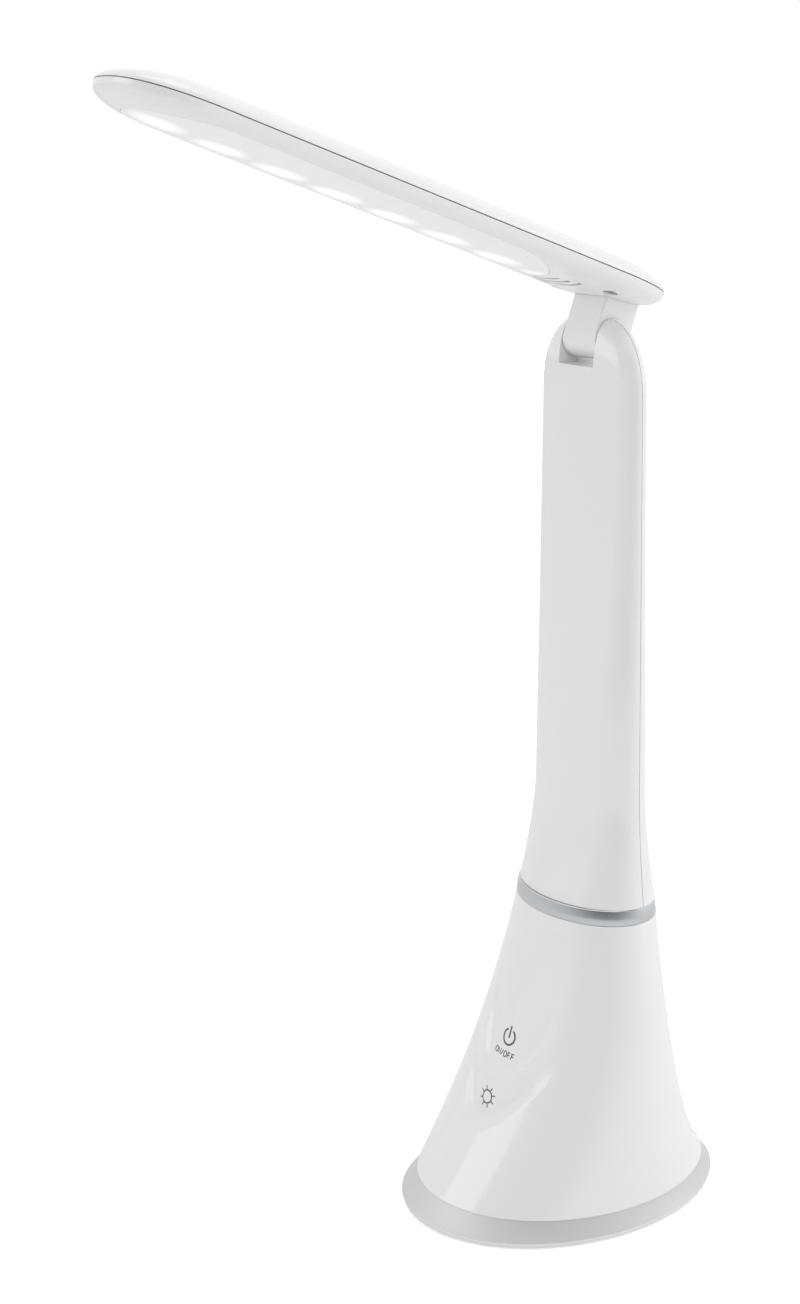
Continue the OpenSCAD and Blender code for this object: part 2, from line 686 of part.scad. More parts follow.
tongue_in = head_wall + 0.45;
tongue_t = 0.9;
tongue_low = seam_low - 1.3;
tongue_high = seam_high + 0.7;
window_top = tongue_low - 0.2;
root_l = 6;
flange_low = 14.2;
flange_t = 1.6;
neck_screw_x = 11.6;
neck_screw_u = 8.4;
recess_r = 2.15;
recess_top = 13;
recess_wall = 1.2;
neck_screw_head = 1.2;
neck_screw_top = 18.4;
vent_middle = window_start + 16.6;
vent_r = 20;

module vents() {
    for (k = [0 : vent_count - 1]) {
        r = vent_r + k * vent_pitch;
        half_angle = 17.5 + 2.5 * k;
        arc = [for (i = [0 : 10]) 90 - half_angle + 2 * half_angle * i / 10];
        translate([0, -vent_middle, 0]) linear_extrude(window_top) polygon(concat(
            [for (a = arc) (r - vent_w / 2) * [cos(a), sin(a)]],
            [for (i = [10 : -1 : 0]) (r + vent_w / 2) * [cos(arc[i]), sin(arc[i])]]));
    }
}

module at_neck_screws() {
    for (s = [-1, 1]) translate([s * neck_screw_x, -neck_screw_u, 0]) children();
}

// Head: underside moulding with its window, vent slots, neck opening and screw recesses
module head_lower_shell() {
    color(white) at_head() difference() {
        union() {
            difference() {
                under_form(0, seam_low);
                under_form(head_wall, seam_low + cut, 5, liner_n);
            }
            difference() {
                loft([head_ring(tongue_in, 1, tongue_low, liner_n), head_ring(tongue_in, 1, tongue_high, liner_n)]);
                loft([head_ring(tongue_in + tongue_t, 1, tongue_low - cut, liner_n),
                    head_ring(tongue_in + tongue_t, 1, tongue_high + cut, liner_n)]);
            }
            intersection() {
                under_form(head_wall / 2, seam_low, 5, liner_n);
                at_neck_screws() cylinder(r = recess_r + recess_wall, h = flange_low, $fn = 32);
            }
        }
        linear_extrude(window_top) polygon(window_outline(0));
        vents();
        translate([-neck_w / 2 - fit, -root_l - fit, 0]) cube([neck_w + 2 * fit, 2 * root_l + 2 * fit, window_top]);
        at_neck_screws() {
            cylinder(r = recess_r, h = recess_top, $fn = 32);
            cylinder(r = screw_r + fit, h = flange_low + cut, $fn = 32);
        }
    }
}

board_low = flange_low;
lamp_l = 3.5;
lamp_w = 2.8;
lamp_h = 0.8;
led_board_t = 1.2;
led_board_w = 14;
reflector_h = 1.4;
reflector_low = board_low - reflector_h;
reflector_w = 24;
reflector_more = 6.5;
cup_r = 6.5;
cup_foot_r = 2.6;
bar_start = lamp_start - reflector_more;
bar_end = lamp_start + (lamp_count - 1) * lamp_pitch + reflector_more;
board_screw_r = 0.9;
board_head_r = 1.7;
board_head_h = 1;
board_boss_r = 2.4;
neck_boss_r = 2.6;
boss_h = 8;
board_screw_top = 18.6;
board_screw_spots = [for (k = [0, floor(lamp_count / 2), lamp_count - 2]) lamp_start + (k + 0.5) * lamp_pitch];

// Head: top moulding with the bosses for both sets of screws
module head_upper_shell() {
    color(white) at_head() difference() {
        union() {
            difference() {
                crown_form(0, seam_high);
                crown_form(head_wall, seam_high - cut, 2.3, 5, liner_n);
            }
            intersection() {
                crown_form(head_wall / 2, flange_low, crown_power, 5, liner_n);
                union() {
                    at_neck_screws() translate([0, 0, flange_low + flange_t])
                        cylinder(r = neck_boss_r, h = boss_h, $fn = 32);
                    for (u = board_screw_spots) translate([0, -u, board_low + led_board_t])
                        cylinder(r = board_boss_r, h = boss_h, $fn = 32);
                }
            }
        }
        at_neck_screws() cylinder(r = screw_r + fit / 2, h = neck_screw_top + fit, $fn = 32);
        for (u = board_screw_spots) translate([0, -u, 0])
            cylinder(r = board_screw_r + fit / 2, h = board_screw_top + fit, $fn = 32);
    }
}

// Head: milky window, flush with the underside
module diffuser() {
    color(milky) at_head() intersection() {
        difference() {
            under_form(0, seam_low);
            under_form(head_wall, seam_low + cut, 5, liner_n);
        }
        linear_extrude(window_top) polygon(window_outline(window_gap));
    }
}

// Flat bar with round ends from u = from to u = to, along the head
module bar(w, from, to, low, h) {
    translate([0, 0, low]) linear_extrude(h) {
        translate([-w / 2, w / 2 - to]) square([w, to - from - w]);
        for (u = [from + w / 2, to - w / 2]) translate([0, -u]) circle(d = w, $fn = 64);
    }
}

module at_lamps() {
    for (k = [0 : lamp_count - 1]) translate([0, -lamp_start - k * lamp_pitch, 0]) children();
}

// Head inside: white reflector with one flared hole for each lamp
module reflector() {
    color([0.97, 0.97, 0.97]) at_head() difference() {
        bar(reflector_w, bar_start - 3, bar_end + 2, reflector_low, reflector_h);
        at_lamps() translate([0, 0, reflector_low]) {
            cylinder(r1 = cup_r, r2 = cup_foot_r, h = reflector_h, $fn = 48);
            translate([0, 0, -cut]) cylinder(r = cup_r, h = cut, $fn = 48);
            cylinder(r = cup_foot_r, h = reflector_h + cut, $fn = 48);
        }
        for (u = board_screw_spots) translate([0, -u, 0])
            cylinder(r = board_head_r + 3 * fit, h = board_low + cut, $fn = 32);
    }
}

module led_board() {
    color([0.85, 0.85, 0.83]) at_head() difference() {
        bar(led_board_w, bar_start, bar_end, board_low, led_board_t);
        for (u = board_screw_spots) translate([0, -u, 0]) cylinder(r = board_screw_r + fit / 2, h = 20, $fn = 32);
    }
}

module leds() {
    color([1, 0.95, 0.6]) at_head() at_lamps() translate([0, 0, board_low - lamp_h / 2])
        cube([lamp_l, lamp_w, lamp_h], center = true);
}

module board_screws() {
    color(steel) at_head() for (u = board_screw_spots) translate([0, -u, board_low]) {
        translate([0, 0, -board_head_h]) cylinder(r = board_head_r, h = board_head_h, $fn = 32);
        cylinder(r = board_screw_r, h = board_screw_top - board_low, $fn = 32);
    }
}

// Head: tongue that stands in the fork, with the flange that screws into the head
module hinge_neck() {
    edge_r = 0.9;
    flange_r = 3.2;
    color(white) at_head() {
        difference() {
            intersection() {
                rotate([90, 0, 90]) linear_extrude(neck_w, center = true) {
                    circle(r = neck_r, $fn = 64);
                    polygon([[-neck_r, 0], [neck_r, 0], [root_l, flange_low + flange_t], [-root_l, flange_low + flange_t]]);
                }
                translate([0, 0, -10]) linear_extrude(40) {
                    square([neck_w - 2 * edge_r, 2 * root_l], center = true);
                    square([neck_w, 2 * root_l - 2 * edge_r], center = true);
                    for (x = [-1, 1]) for (y = [-1, 1])
                        translate([x * (neck_w / 2 - edge_r), y * (root_l - edge_r)]) circle(r = edge_r, $fn = 24);
                }
            }
            rotate([0, 90, 0]) cylinder(r = pin_r + pin_clearance, h = neck_w + 2, center = true, $fn = 48);
        }
        difference() {
            translate([0, 0, flange_low]) linear_extrude(flange_t) {
                translate([-neck_screw_x, -neck_screw_u - flange_r]) square([2 * neck_screw_x, 2 * flange_r]);
                for (s = [-1, 1]) translate([s * neck_screw_x, -neck_screw_u]) circle(r = flange_r, $fn = 48);
            }
            at_neck_screws() cylinder(r = screw_r + fit, h = 20, $fn = 32);
        }
    }
}

module neck_screws() {
    color(steel) at_head() at_neck_screws() {
        translate([0, 0, recess_top - neck_screw_head]) cylinder(r = recess_r - fit, h = neck_screw_head, $fn = 32);
        translate([0, 0, recess_top]) cylinder(r = screw_r, h = neck_screw_top - recess_top, $fn = 32);
    }
}

foot_plate();
foot_pad();
base_screws();
foot_trim();
base_shell();
neck_ring();
ballast_plate();
battery_holder();
battery_cell();
driver_board();
charge_socket();
touch_board();
arm_front_shell();
arm_back_shell();
arm_screws();
arm_lead();
hinge_pin();
hinge_nut();
spring_washers();
friction_washers();
hinge_neck();
neck_screws();
head_lower_shell();
head_upper_shell();
diffuser();
reflector();
led_board();
leds();
board_screws();
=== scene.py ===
# Folding desk lamp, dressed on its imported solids: white moulded shells, silver trim, lit opal window.
import bpy
import bmesh
import numpy as np
from mathutils import Matrix


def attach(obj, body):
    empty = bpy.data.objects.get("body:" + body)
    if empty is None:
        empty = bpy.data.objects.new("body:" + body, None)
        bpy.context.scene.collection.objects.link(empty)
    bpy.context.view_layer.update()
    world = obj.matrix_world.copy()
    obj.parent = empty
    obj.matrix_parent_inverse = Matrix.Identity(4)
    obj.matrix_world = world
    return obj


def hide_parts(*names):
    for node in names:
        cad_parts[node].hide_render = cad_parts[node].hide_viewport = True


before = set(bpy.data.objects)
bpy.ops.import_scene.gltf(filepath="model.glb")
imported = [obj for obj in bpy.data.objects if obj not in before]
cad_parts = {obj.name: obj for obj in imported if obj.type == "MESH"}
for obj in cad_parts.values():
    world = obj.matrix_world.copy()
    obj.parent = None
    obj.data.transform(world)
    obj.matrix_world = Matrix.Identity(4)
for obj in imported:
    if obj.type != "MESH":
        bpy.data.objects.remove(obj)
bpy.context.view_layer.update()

# Camera: a short telephoto at the photograph's angle, from the right front and a little above.
# It looks past the lamp by a few degrees and is rolled by a degree, as the photograph is.
STAND_OFF, SWING, EYE, PITCH, YAW, ROLL = 0.582226, 52.512, 0.308168, 14.162, 5.436, -0.967
FOCAL_PIXELS, FRAME_PIXELS, SENSOR_MM = 2098.83, 1304, 36
swing, aim, pitch, roll = np.radians([SWING, SWING + YAW, PITCH, ROLL])
eye = np.array([STAND_OFF * np.sin(swing), -STAND_OFF * np.cos(swing), EYE])
look = np.array([-np.sin(aim) * np.cos(pitch), np.cos(aim) * np.cos(pitch), -np.sin(pitch)])
level = np.array([np.cos(aim), np.sin(aim), 0])
square = np.cross(level, look)
across = level * np.cos(roll) + square * np.sin(roll)
over = square * np.cos(roll) - level * np.sin(roll)
lens = bpy.data.cameras.new("camera")
lens.sensor_fit, lens.sensor_height = "VERTICAL", SENSOR_MM
lens.lens = FOCAL_PIXELS / FRAME_PIXELS * SENSOR_MM
lens.clip_start, lens.clip_end = 0.01, 20
camera = bpy.data.objects.new("camera", lens)
camera.matrix_world = Matrix([[across[i], over[i], -look[i], eye[i]] for i in range(3)] + [[0, 0, 0, 1]])
bpy.context.collection.objects.link(camera)
bpy.context.scene.camera = camera


# Foot cone: one white ABS moulding, flared to an oval foot, with two soft scoops for the touch marks.
# It stands on the foot plate and is held by screws from below; the collar sits on its top edge.
# Its surface is a stack of level ovals; in front each point is pushed back by the depth of the scoops.
def to_linear(hex_colour):
    """sRGB hex to linear RGB: the usual curve, a straight toe and a 2.4 power."""
    colour = np.array([int(hex_colour[i:i + 2], 16) for i in (1, 3, 5)]) / 255
    return (*np.where(colour <= 0.04045, colour / 12.92, ((colour + 0.055) / 1.055) ** 2.4), 1)


def add_node(material, kind, settings=(), links=()):
    """Adds a node of that kind: settings fill its attributes or sockets, links join its sockets to others."""
    node = material.node_tree.nodes.new(kind)
    for key, value in dict(settings).items():
        if isinstance(key, str) and hasattr(node, key):
            setattr(node, key, value)
        else:
            node.inputs[key].default_value = value
    for key, source in dict(links).items():
        material.node_tree.links.new(source, node.inputs[key])
    return node


def new_material(name, base, roughness, **sockets):
    """A Principled material and its shader; extra sockets are given by name with _ for a space."""
    material = bpy.data.materials.new(name)
    material.use_nodes = True
    shader = material.node_tree.nodes["Principled BSDF"]
    shader.inputs["Base Color"].default_value = to_linear(base)
    shader.inputs["Roughness"].default_value = roughness
    for key, value in sockets.items():
        shader.inputs[key.replace("_", " ")].default_value = value
    return material, shader


def grain_bump(material, shader, size_mm, height_mm, detail=2):
    """Fine unevenness: noise whose lumps are size_mm across, raised by height_mm."""
    place = add_node(material, "ShaderNodeTexCoord")
    noise = add_node(material, "ShaderNodeTexNoise",
                     {"Scale": 1000 / size_mm, "Detail": detail, "Roughness": 0.5},
                     {"Vector": place.outputs["Object"]})
    bump = add_node(material, "ShaderNodeBump", {"Strength": 0.5, "Distance": height_mm / 1000},
                    {"Height": noise.outputs["Fac"]})
    material.node_tree.links.new(bump.outputs["Normal"], shader.inputs["Normal"])


SHARP_DEGREES, BEVEL_DEGREES = 32, 45


def make_piece(name, verts_mm, faces, body, slot, material, nodes=(), bevel=0.0):
    """A closed piece from vertices in mm and faces: turned outwards, and smooth but for its sharp edges."""
    mesh = bpy.data.meshes.new(name)
    mesh.from_pydata(np.asarray(verts_mm, float) / 1000, [], faces)
    mesh.validate()
    mesh.update()
    mesh.calc_loop_triangles()
    corners = np.empty(len(mesh.loop_triangles) * 3, np.int32)
    mesh.loop_triangles.foreach_get("vertices", corners)
    triangles = np.array([v.co[:] for v in mesh.vertices])[corners.reshape(-1, 3)]
    if np.einsum("ij,ij->i", triangles[:, 0], np.cross(triangles[:, 1], triangles[:, 2])).sum() < 0:
        mesh.flip_normals()
    mesh.polygons.foreach_set("use_smooth", np.ones(len(mesh.polygons), bool))
    mesh.set_sharp_from_angle(angle=np.radians(SHARP_DEGREES))
    mesh.materials.append(material)
    piece = bpy.data.objects.new(name, mesh)
    bpy.context.collection.objects.link(piece)
    if bevel:
        edge = piece.modifiers.new("edge", "BEVEL")
        edge.width, edge.segments = bevel / 1000, 3
        edge.limit_method, edge.angle_limit = "ANGLE", np.radians(BEVEL_DEGREES)
    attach(piece, body)
    if nodes:
        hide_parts(*nodes)
    return piece


def loft(rings, loop=False):
    """Quads between closed rings of an (m, n, 3) array; its ends get fans to their centres, or are joined."""
    m, n = rings.shape[:2]
    ring = np.arange(m if loop else m - 1)[:, None]
    point = np.arange(n)[None]
    next_ring, next_point = (ring + 1) % m, (point + 1) % n
    quads = np.stack(np.broadcast_arrays(ring * n + point, ring * n + next_point,
                                         next_ring * n + next_point, next_ring * n + point), -1)
    verts, faces = rings.reshape(-1, 3), quads.reshape(-1, 4).tolist()
    if not loop:
        verts = np.vstack([verts, rings[0].mean(0), rings[-1].mean(0)])
        point, next_point = point[0], next_point[0]
        faces += np.stack([next_point, point, point * 0 + m * n], 1).tolist()
        faces += np.stack([(m - 1) * n + point, (m - 1) * n + next_point, point * 0 + m * n + 1], 1).tolist()
    return verts, faces


def carve(piece, volumes):
    """Cuts closed volumes, given as (vertices in mm, faces), out of a piece."""
    cutter = bpy.data.meshes.new("cutter")
    verts, faces = np.zeros((0, 3)), []
    for points, sides in volumes:
        faces += [[i + len(verts) for i in side] for side in sides]
        verts = np.vstack([verts, points])
    cutter.from_pydata(verts / 1000, [], faces)
    work = bmesh.new()
    work.from_mesh(cutter)
    bmesh.ops.recalc_face_normals(work, faces=work.faces)
    work.to_mesh(cutter)
    work.free()
    tool = bpy.data.objects.new("cutter", cutter)
    bpy.context.collection.objects.link(tool)
    cut = piece.modifiers.new("cut", "BOOLEAN")
    cut.operation, cut.solver, cut.object = "DIFFERENCE", "EXACT", tool
    done = bpy.data.meshes.new_from_object(piece.evaluated_get(bpy.context.evaluated_depsgraph_get()))
    piece.modifiers.clear()
    piece.data = done
    bpy.data.objects.remove(tool)
    done.polygons.foreach_set("use_smooth", np.ones(len(done.polygons), bool))
    done.set_sharp_from_angle(angle=np.radians(SHARP_DEGREES))


def full_turn(count):
    """Angles once round, count of them, evenly spaced."""
    return np.radians(np.linspace(0, 360, count + 1)[:-1])


def signed_power(value, power):
    """Sign kept, size raised to the power."""
    return np.sign(value) * np.abs(value) ** power


def oval_ring(size, z, turn):
    """Ellipse at height z with half width size[0], reach size[1] to the front and size[2] to the back."""
    half, front, back = size[..., 0], size[..., 1], size[..., 2]
    y = (back - front) / 2 + (back + front) / 2 * np.sin(turn)
    return np.stack(np.broadcast_arrays(half * np.cos(turn), y, z), -1)


# Half width, reach to the front and reach to the back of the cone's bottom and of the collar.
FOOT = np.array([37.3, 56.6, 33.8])
COLLAR = np.array([25.1, 19.5, 14.5])
BAND_TOP, COLLAR_Z, COLLAR_H = 7.2, 86.9, 4.5
# How far the sides and the front hang inside a straight slope: the sides stand out, the front is hollow.
HOLLOW = np.array([-0.5, 0.65])
BACK_LIP, BACK_POWER, LIP_POWER = 0.15, 1.85, 12
# The lower scoop's rim is a parabola from LOW_Z, the upper one's the lower half of an ellipse about HIGH_Z.
LOW_Z, LOW_HALF, LOW_RISE, LOW_FADE = 24.6, 22.3, 24.6, (27, 51)
LOW_DEPTH, LOW_LEDGE, LOW_RUN = 2.4, 4.2, 12.5
HIGH_Z, HIGH_HALF, HIGH_DROP, HIGH_FADE = 60, 15.3, 20.8, (46, 69)
HIGH_DEPTH, HIGH_LEDGE, HIGH_RUN = 1.4, 2.8, 19


def scoop_profile(inside, ledge, run):
    """0 outside the rim, a half cosine over the ledge, then a straight run-out to 0."""
    rising = (1 - np.cos(np.pi * np.clip(inside / ledge, 0, 1))) / 2
    return np.where(inside < ledge, rising, np.clip(1 - (inside - ledge) / run, 0, 1))


def fade_up(z, start, end):
    """1 below start, 0 above end, a half cosine between."""
    return (1 + np.cos(np.pi * np.clip((z - start) / (end - start), 0, 1))) / 2


def scoop_depth(x, z):
    """Depth of both scoops: each is its profile of the distance inside its rim, times its fade.

    The distance inside the parabola is the height above it over the root of 1 plus its slope squared.
    That inside the half ellipse, straight above its middle, is the share left over the share's own slope.
    """
    share = x / LOW_HALF
    inside = (z - LOW_Z - LOW_RISE * share * share) / np.sqrt(1 + (2 * LOW_RISE * share / LOW_HALF) ** 2)
    low = LOW_DEPTH * fade_up(z, *LOW_FADE) * scoop_profile(inside, LOW_LEDGE, LOW_RUN)
    sideways, down = x / HIGH_HALF, np.minimum(0, z - HIGH_Z) / HIGH_DROP
    share = np.sqrt(sideways * sideways + down * down)
    slope = np.maximum(1e-6, np.sqrt((sideways / HIGH_HALF) ** 2 + (down / HIGH_DROP) ** 2))
    inside = np.where(share < 1e-3, HIGH_HALF, (1 - share) * share / slope)
    return low + HIGH_DEPTH * fade_up(z, *HIGH_FADE) * scoop_profile(inside, HIGH_LEDGE, HIGH_RUN)


def cone_size(z, inset):
    """Sizes at height z, drawn in by inset; t runs 0 to 1 up the cone.

    The sides and the front ease as (1 - t)(1 - hollow t), the back as two powers of 1 - t, one for its lip.
    """
    t = ((z - BAND_TOP) / (COLLAR_Z - BAND_TOP))[..., None]
    back = (1 - BACK_LIP) * (1 - t) ** BACK_POWER + BACK_LIP * (1 - t) ** LIP_POWER
    ease = np.concatenate([(1 - t) * (1 - HOLLOW * t), back], -1)
    return COLLAR + (FOOT - COLLAR) * ease - inset[..., None]


def cone_ring(z, inset, turn):
    """Level oval of the cone, with the scoops pressed into its front."""
    ring = oval_ring(cone_size(z, inset), z, turn)
    ring[..., 1] += np.where(np.sin(turn) < 0, scoop_depth(ring[..., 0], z), 0)
    return ring


# Glossy white ABS: high polish with the faintest waviness of a moulded wall.
white, shader = new_material("white_gloss_abs", "#EFEFEF", 0.1, IOR=1.53)
grain_bump(white, shader, 9, 0.0012, 1)
CONE_WALL, FOOT_EDGE, NECK_EDGE, CONE_COLUMNS, CROWDING = 2.2, 0.4, 0.3, 360, 1.25
# Columns stand closest in front and rows closest over the scoops; both edges are rounded.
crowd = np.linspace(-1, 1, CONE_COLUMNS + 1)[:-1]
cone_turn = np.radians(270 + 180 * signed_power(crowd, CROWDING))[None]
quarter = np.linspace(0, np.pi / 2, 5)
wall_z = np.concatenate([np.linspace(BAND_TOP + 0.9, 22, 30), np.linspace(22.4, 62, 133),
                         np.linspace(62.6, COLLAR_Z - NECK_EDGE, 28)])
outer_z = np.concatenate([BAND_TOP + FOOT_EDGE * (1 - np.sin(quarter[::-1])), wall_z,
                          COLLAR_Z - NECK_EDGE + NECK_EDGE * np.sin(quarter)])
outer_inset = np.concatenate([FOOT_EDGE * (1 - np.cos(quarter[::-1])), 0 * wall_z,
                              NECK_EDGE * (1 - np.cos(quarter))])
inner_z = np.linspace(COLLAR_Z, BAND_TOP, 40)
rings = np.concatenate([cone_ring(outer_z[:, None], outer_inset[:, None], cone_turn),
                        cone_ring(inner_z[:, None], np.full((len(inner_z), 1), CONE_WALL), cone_turn)])
cone = make_piece("foot_cone", *loft(rings, loop=True), "stand", "white_shell", white, ["base_shell"])

# Inlet slot: an opening with round ends, moulded in the back wall of the cone.
# It is just wider than the steel mouth of the socket behind it, and is cut between two depths in y.
INLET_W, INLET_H, INLET_Z, INLET_FROM, INLET_TO = 9.3, 3.7, 13.7, 24, 46
turn = full_turn(64)
x = np.sign(np.cos(turn)) * (INLET_W - INLET_H) / 2 + INLET_H / 2 * np.cos(turn)
z = INLET_Z + INLET_H / 2 * np.sin(turn)
inlet = np.stack([np.stack([x, 0 * x + y, z], 1) for y in (INLET_FROM, INLET_TO)])
carve(cone, [loft(inlet)])

# Touch marks: a power sign, ON/OFF and a sun, pad printed in dark grey on the scoops' floors.
# Each stroke is a thin ribbon of ink along its path, laid on the cone and following its surface.
ink, shader = new_material("grey_print_ink", "#4C4D51", 0.35)
grain_bump(ink, shader, 0.2, 0.0008)
# The front leans back by about 30 degrees here, so a height along the surface counts this much in z.
UPRIGHT = 0.86
INK_PROUD, INK_SUNK, MITRE_LIMIT = 0.03, 0.05, 0.67


def ink_stroke(name, path, width, middle, closed=False):
    """Ribbon along a path, in mm from the mark's middle, whose height is given, on the cone.

    Corners are mitred by the width over the sine of the half angle, up to 1.5 widths.
    """
    path = np.asarray(path, float)
    ahead, behind = np.roll(path, -1, 0) - path, path - np.roll(path, 1, 0)
    if not closed:
        ahead[-1], behind[0] = behind[-1], ahead[0]
    ahead, behind = (step / np.linalg.norm(step, axis=1)[:, None] for step in (ahead, behind))
    outward = np.stack([-(ahead + behind)[:, 1], (ahead + behind)[:, 0]], 1)
    outward /= np.linalg.norm(outward, axis=1)[:, None]
    sine = np.abs(outward[:, 0] * -ahead[:, 1] + outward[:, 1] * ahead[:, 0])
    offset = outward * (1 / np.maximum(MITRE_LIMIT, sine) * width / 2)[:, None]
    rings = []
    corners = ((offset, -INK_PROUD), (-offset, -INK_PROUD), (-offset, INK_SUNK), (offset, INK_SUNK))
    for shift, depth in corners:
        x, z = (path + shift)[:, 0], middle + (path + shift)[:, 1] * UPRIGHT
        half, front, back = np.moveaxis(cone_size(z, 0 * z), -1, 0)
        y = (back - front) / 2 - (back + front) / 2 * np.sqrt(1 - (x / half) ** 2) + scoop_depth(x, z)
        rings.append(np.stack([x, y + depth, z], 1))
    make_piece(name, *loft(np.stack(rings, 1), loop=closed), "stand", None, ink)


def arc_path(radius, start, end, count, tall=1.0, x=0.0):
    """Points on an arc from start to end degrees: tall stretches it upwards, x moves it aside."""
    turn = np.radians(np.linspace(start, end, count))
    return np.stack([x + radius * np.cos(turn), radius * tall * np.sin(turn)], 1)


POWER_Z, POWER_R, POWER_PEN, POWER_OPEN = 50.1, 2.55, 0.62, 28
ink_stroke("power_ring", arc_path(POWER_R, 90 + POWER_OPEN, 450 - POWER_OPEN, 61), POWER_PEN, POWER_Z)
ink_stroke("power_bar", [(0.05, -0.35), (0.05, 1.6), (0.05, 3.6)], POWER_PEN, POWER_Z)
SUN_Z, SUN_R, SUN_PEN, RAYS, FIRST_RAY, RAY_PEN = 33.4, 2.05, 0.42, 8, 22.5, 0.36
ink_stroke("sun_ring", arc_path(SUN_R, 0, 360, 49)[:-1], SUN_PEN, SUN_Z, closed=True)
for k in range(RAYS):
    angle = np.radians(FIRST_RAY + 360 / RAYS * k)
    ray = np.array([np.cos(angle), np.sin(angle)])
    ink_stroke(f"sun_ray_{k}", [ray * reach for reach in (2.3, 2.9, 3.5)], RAY_PEN, SUN_Z)
WORDS_Z, WORDS_PEN, CAP, O_R = 45.4, 0.32, 0.88, 0.62
letters = {
    "O_1": (arc_path(O_R, 0, 360, 33, CAP / O_R, -4.0)[:-1], True),
    "N": ([(-2.9, -CAP), (-2.9, CAP), (-1.9, -CAP), (-1.9, CAP)], False),
    "slash": ([(-1.35, -CAP), (-0.75, CAP)], False),
    "O_2": (arc_path(O_R, 0, 360, 33, CAP / O_R, 0.45)[:-1], True),
    "F_1": ([(1.6, -CAP), (1.6, CAP), (2.55, CAP)], False),
    "F_1_bar": ([(1.75, 0.05), (2.4, 0.05)], False),
    "F_2": ([(3.25, -CAP), (3.25, CAP), (4.2, CAP)], False),
    "F_2_bar": ([(3.4, 0.05), (4.05, 0.05)], False)}
for name, (path, closed) in letters.items():
    ink_stroke("print_" + name, path, WORDS_PEN, WORDS_Z, closed)


# Foot band: a silver band that slopes out from under the cone, clamped between the cone and the foot plate.
# It is moulded plastic under a satin silver lacquer: it shines softly and shows faint lines along its length.
def level_lines(material, shader, scale, strength, height_mm):
    """Fine lines round a piece: noise drawn out level and packed close in height, raised by height_mm."""
    place = add_node(material, "ShaderNodeTexCoord")
    along = add_node(material, "ShaderNodeMapping", {"Scale": scale}, {"Vector": place.outputs["Object"]})
    lines = add_node(material, "ShaderNodeTexNoise", {"Scale": 1.0, "Detail": 3},
                     {"Vector": along.outputs["Vector"]})
    bump = add_node(material, "ShaderNodeBump", {"Strength": strength, "Distance": height_mm / 1000},
                    {"Height": lines.outputs["Fac"]})
    material.node_tree.links.new(bump.outputs["Normal"], shader.inputs["Normal"])


silver, shader = new_material("silver_lacquered_abs", "#D1D1D2", 0.5, Metallic=0.25)
level_lines(silver, shader, (40, 40, 2600), 0.35, 0.01)
SPREAD = np.array([1.8, 5.3, 3.5])
TRIM_Z, RIM_DRAFT = 2.1, 0.5 / 1.6
ring_turn = full_turn(256)[None]


def skirt_rings(profile):
    """Level ovals below the cone for a profile of (height, inset).

    They spread in a straight slope from the cone's edge to the top of the rim; the rim draws in below it.
    """
    z, inset = np.array(profile, float).T[..., None]
    share = np.clip((BAND_TOP - z) / (BAND_TOP - TRIM_Z), 0, 1)[..., None]
    draft = RIM_DRAFT * np.maximum(0, TRIM_Z - z)
    return oval_ring(FOOT + SPREAD * share - (inset + draft)[..., None], z, ring_turn)


band = skirt_rings([(TRIM_Z, 0.6), (TRIM_Z, 0.05), (3.4, 0.25), (4.7, 0.36),
                    (6, 0.36), (BAND_TOP, 0.3), (BAND_TOP, 1.6), (4.7, 1.6)])
make_piece("foot_band", *loft(band, loop=True), "stand", "silver_trim", silver, ["foot_trim"])

# Foot rim: the thin white edge of the moulded foot plate, which closes the foot below the band.
# It is screwed on from below, and the rubber pad sits inside its step.
PLATE_Z, PAD_INSET, MIDDLE_INSET, PLATE_TOP = 0.5, 8.65, 20, 1.1
rim = skirt_rings([(PLATE_TOP, MIDDLE_INSET), (PLATE_TOP, PAD_INSET), (PLATE_Z, PAD_INSET),
                   (PLATE_Z, 0.35), (0.7, 0.06), (PLATE_TOP, 0.0),
                   (TRIM_Z - 0.15, 0.0), (TRIM_Z, 0.2), (TRIM_Z, MIDDLE_INSET)])
make_piece("foot_rim", *loft(rim), "stand", "white_shell", white, ["foot_plate"])

# Collar: a silver ring clamped between the cone and the arm, turned metal brushed round its length,
# so that its shine spreads up and down and follows the light round the lamp.
brushed, shader = new_material("brushed_ring", "#D2D3D5", 0.38, Metallic=1.0, Anisotropic=0.85)
level_lines(brushed, shader, (30, 30, 5200), 0.6, 0.012)
tangent = add_node(brushed, "ShaderNodeTangent", {"direction_type": "RADIAL", "axis": "Z"})
brushed.node_tree.links.new(tangent.outputs["Tangent"], shader.inputs["Tangent"])
# Its profile, as (height above the cone, inset), leans in with the arm and has rounded edges.
collar_profile = [(0.15, 2.5), (0, 0.4), (0.15, 0.12), (0.5, 0), (2.2, 0.25),
                  (4.0, 0.5), (4.35, 0.6), (COLLAR_H, 0.85), (4.35, 2.5)]
z, inset = np.array(collar_profile).T[..., None]
collar = oval_ring(COLLAR - inset[..., None], COLLAR_Z + z, ring_turn)
make_piece("collar_ring", *loft(collar, loop=True), "stand", "silver_trim", brushed, ["neck_ring"])

# Arm: two white ABS halves, screwed together inside the cone, that meet in a fine parting line at the sides.
# Each half is a D-section: an arc of the level oval closed by the parting plane.
# Above the slot's floor it splits into the two ears that hold the head's neck.
SEAM_Y, PART_GAP, FLARE_Z, DOME_Z, DOME_H, SLOT_HALF, SLOT_FLOOR = -0.44, 0.1, 121, 234, 22.6, 7.75, 243
